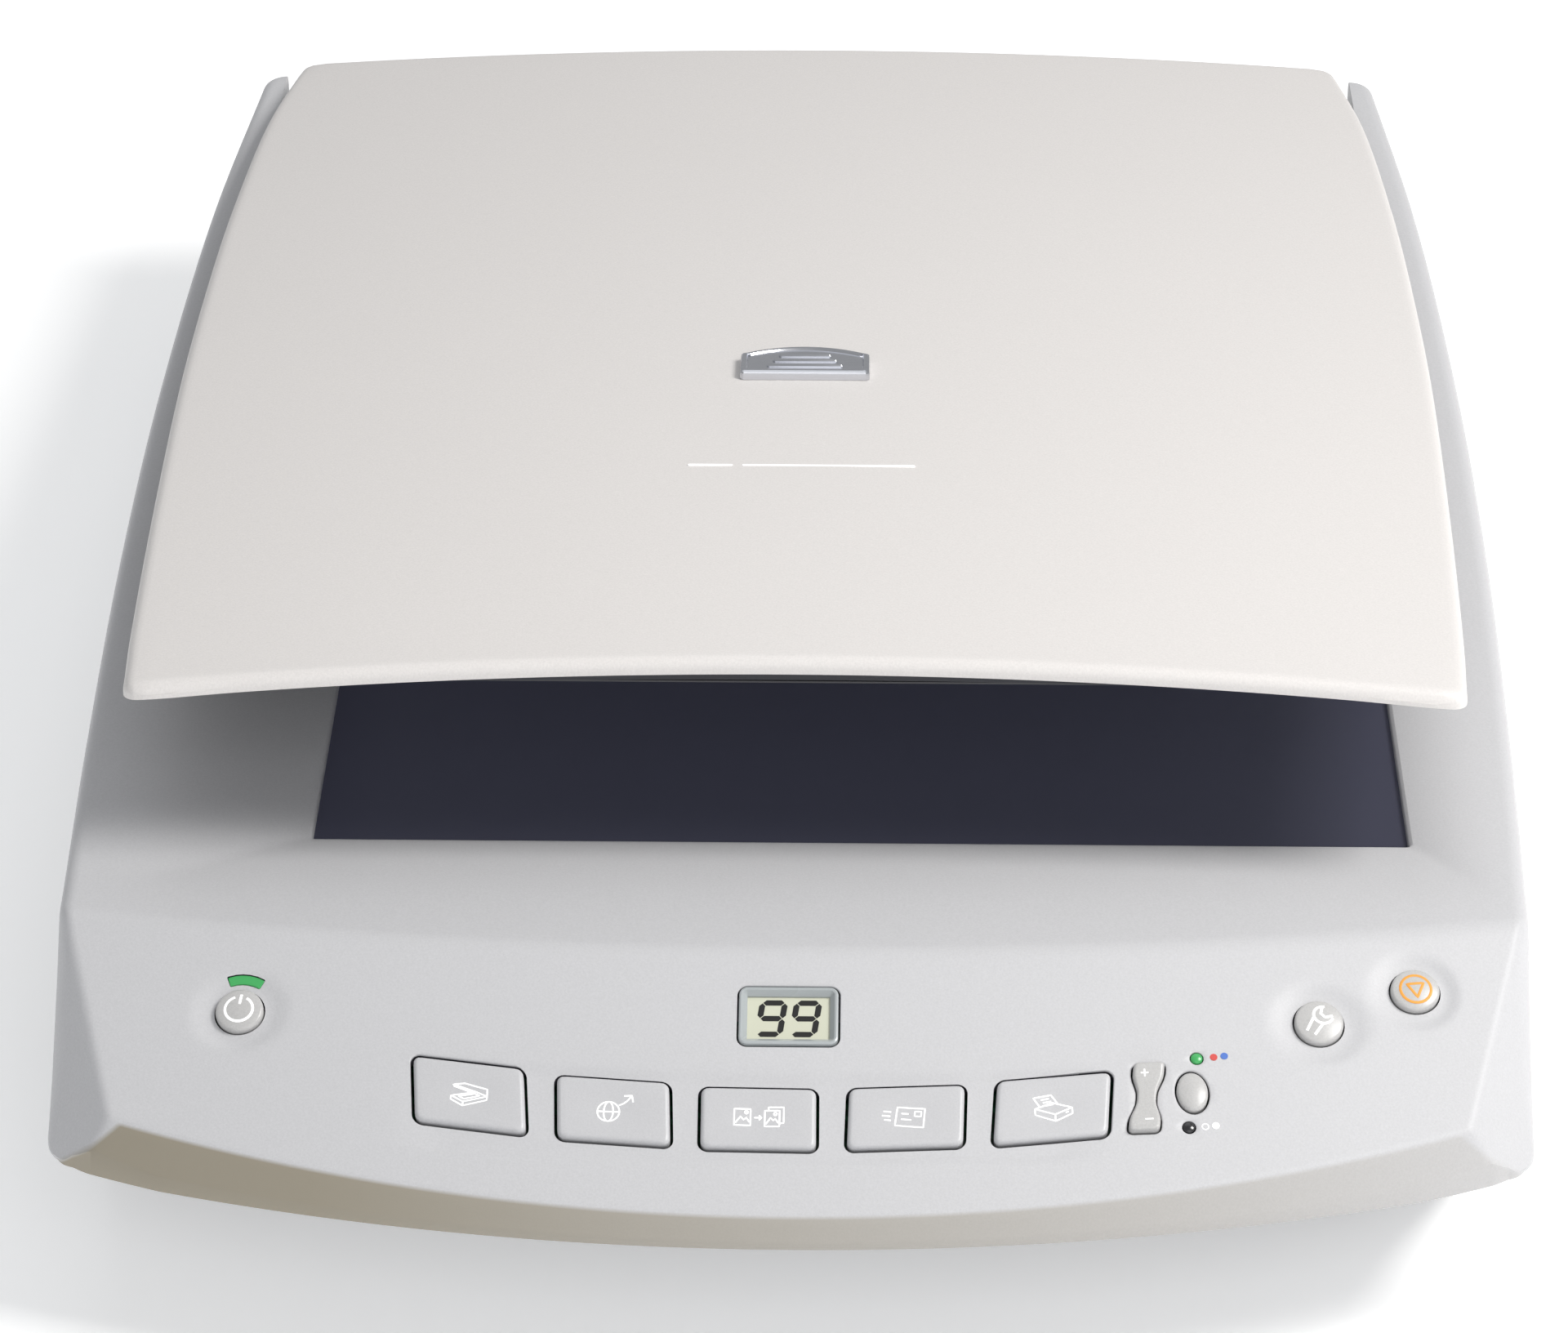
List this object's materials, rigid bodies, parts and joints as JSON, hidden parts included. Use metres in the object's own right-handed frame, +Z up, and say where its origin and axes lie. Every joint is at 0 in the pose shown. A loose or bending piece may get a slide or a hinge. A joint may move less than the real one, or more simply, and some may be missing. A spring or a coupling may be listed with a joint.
{
  "type": "flatbed scanner",
  "caption": "Desktop flatbed scanner with a barrel-sided case, tilted button panel with a small display, dark glass platen and a crowned lid propped slightly open.",
  "frame": {"origin": "middle of the footprint, on the surface that the feet stand on", "axes": "+X to the right as seen from the control panel, +Y from the control panel towards the hinges, +Z up"},
  "size_m": [0.299, 0.458, 0.1105],
  "materials": {
    "case_plastic": "fine-grained warm light grey moulding",
    "plinth_plastic": "fine-grained mid grey moulding",
    "key_plastic": "satin silver grey",
    "platen_glass": "polished, dark from the unlit inside behind it",
    "display_window": "clear window",
    "display_cell": "pale olive liquid crystal cell",
    "lid_foam": "soft white backing foam",
    "white_film": "smooth white",
    "liner_plastic": "fine-grained white moulding",
    "circuit_board": "green solder mask",
    "dark_plastic": "black moulding",
    "steel": "ground steel",
    "brass": "machined brass",
    "chrome_trim": "satin chrome plating",
    "foot_rubber": "soft black rubber",
    "belt_rubber": "toothed belt rubber",
    "nylon": "natural nylon",
    "mirror_glass": "front-silvered",
    "lamp_glass": "white phosphor tube",
    "green_lens": "green light",
    "smoke_lens": "unlit light"
  },
  "bodies": {
    "case": {"bottom_housing": "plinth_plastic", "top_housing": "case_plastic", "scan_glass": "platen_glass", "calibration_strip": "white_film", "foot_front_left": "foot_rubber", "foot_front_right": "foot_rubber", "foot_rear_left": "foot_rubber", "foot_rear_right": "foot_rubber", "case_screw_1": "steel", "case_screw_2": "steel", "case_screw_3": "steel", "case_screw_4": "steel", "main_board": "circuit_board", "panel_board": "circuit_board", "power_jack": "dark_plastic", "usb_port": "steel", "display_panel": "display_cell", "display_lens": "display_window", "power_light": "green_lens", "color_light": "green_lens", "mono_light": "smoke_lens", "guide_rod": "steel", "stepper_motor": "steel", "idler_bracket": "steel", "tension_spring": "steel", "drive_belt": "belt_rubber"},
    "carriage": {"carriage_housing": "dark_plastic", "lamp_tube": "lamp_glass", "mirror_1": "mirror_glass", "mirror_2": "mirror_glass", "mirror_3": "mirror_glass", "lens_barrel": "dark_plastic", "sensor_board": "circuit_board", "rod_bush_1": "nylon", "rod_bush_2": "nylon", "belt_clamp": "nylon"},
    "drive_wheel": {"drive_gear": "nylon"},
    "motor_shaft": {"motor_gear": "brass"},
    "idler": {"idler_pulley": "nylon"},
    "posts": {"hinge_post_left": "plinth_plastic", "hinge_post_right": "plinth_plastic"},
    "lid": {"lid_cover": "case_plastic", "lid_liner": "liner_plastic", "lid_pad": "lid_foam", "lid_sheet": "white_film", "badge": "chrome_trim", "hinge_pin_left": "steel", "hinge_pin_right": "steel"},
    "scan_button": {"scan_button": "key_plastic"},
    "web_button": {"web_button": "key_plastic"},
    "photo_button": {"photo_button": "key_plastic"},
    "mail_button": {"mail_button": "key_plastic"},
    "copy_button": {"copy_button": "key_plastic"},
    "power_button": {"power_button": "key_plastic"},
    "tools_button": {"tools_button": "key_plastic"},
    "cancel_button": {"cancel_button": "key_plastic"},
    "color_button": {"color_button": "key_plastic"},
    "copies_rocker": {"copies_rocker": "key_plastic"}
  },
  "joints": [
    {"name": "post_lift", "type": "slide", "parent": "case", "child": "posts", "axis": [0, 0, 1], "range_m": [0, 0.02]},
    {"name": "lid_hinge", "type": "hinge", "parent": "posts", "child": "lid", "pos_m": [0, 0.217, 0.0665], "axis": [-1, 0, 0], "range_deg": [-5.5, 69.5]},
    {"name": "carriage_slide", "type": "slide", "parent": "case", "child": "carriage", "axis": [0, -1, 0], "range_m": [0, 0.3]},
    {"name": "drive_spin", "type": "hinge", "parent": "case", "child": "drive_wheel", "pos_m": [0.08, 0.2, 0.012], "axis": [0, 0, 1], "range_deg": [-10, 2700]},
    {"name": "motor_spin", "type": "hinge", "parent": "case", "child": "motor_shaft", "pos_m": [0.06055, 0.2, 0.012], "axis": [0, 0, 1], "range_deg": [-8100, 30]},
    {"name": "idler_spin", "type": "hinge", "parent": "case", "child": "idler", "pos_m": [0.08, -0.16, 0.016], "axis": [0, 0, 1], "range_deg": [-10, 2700]},
    {"name": "scan_press", "type": "slide", "parent": "case", "child": "scan_button", "axis": [0.0307, 0.4373, -0.8988], "range_m": [0, 0.0008], "stiffness_N_per_m": 500, "springref_m": -0.0006},
    {"name": "web_press", "type": "slide", "parent": "case", "child": "web_button", "axis": [0.0168, 0.4381, -0.8988], "range_m": [0, 0.0008], "stiffness_N_per_m": 500, "springref_m": -0.0006},
    {"name": "photo_press", "type": "slide", "parent": "case", "child": "photo_button", "axis": [0.0029, 0.4384, -0.8988], "range_m": [0, 0.0008], "stiffness_N_per_m": 500, "springref_m": -0.0006},
    {"name": "mail_press", "type": "slide", "parent": "case", "child": "mail_button", "axis": [-0.0112, 0.4382, -0.8988], "range_m": [0, 0.0008], "stiffness_N_per_m": 500, "springref_m": -0.0006},
    {"name": "copy_press", "type": "slide", "parent": "case", "child": "copy_button", "axis": [-0.0252, 0.4376, -0.8988], "range_m": [0, 0.0008], "stiffness_N_per_m": 500, "springref_m": -0.0006},
    {"name": "power_press", "type": "slide", "parent": "case", "child": "power_button", "axis": [0.0545, 0.435, -0.8988], "range_m": [0, 0.0008], "stiffness_N_per_m": 500, "springref_m": -0.0006},
    {"name": "tools_press", "type": "slide", "parent": "case", "child": "tools_button", "axis": [-0.052, 0.4353, -0.8988], "range_m": [0, 0.0008], "stiffness_N_per_m": 500, "springref_m": -0.0006},
    {"name": "cancel_press", "type": "slide", "parent": "case", "child": "cancel_button", "axis": [-0.0621, 0.434, -0.8988], "range_m": [0, 0.0008], "stiffness_N_per_m": 500, "springref_m": -0.0006},
    {"name": "color_press", "type": "slide", "parent": "case", "child": "color_button", "axis": [-0.0388, 0.4367, -0.8988], "range_m": [0, 0.0008], "stiffness_N_per_m": 500, "springref_m": -0.0006},
    {"name": "copies_rock", "type": "hinge", "parent": "case", "child": "copies_rocker", "pos_m": [0.0678, -0.20095, 0.04966], "axis": [0.9969, 0.0781, 0], "range_deg": [-4, 4], "stiffness_Nm_per_rad": 0.08}
  ],
  "couplings": [
    {"joint": "drive_spin", "follows": "carriage_slide", "rad_per_m": 156.25},
    {"joint": "motor_spin", "follows": "carriage_slide", "rad_per_m": -468.75},
    {"joint": "idler_spin", "follows": "carriage_slide", "rad_per_m": 156.25}
  ]
}
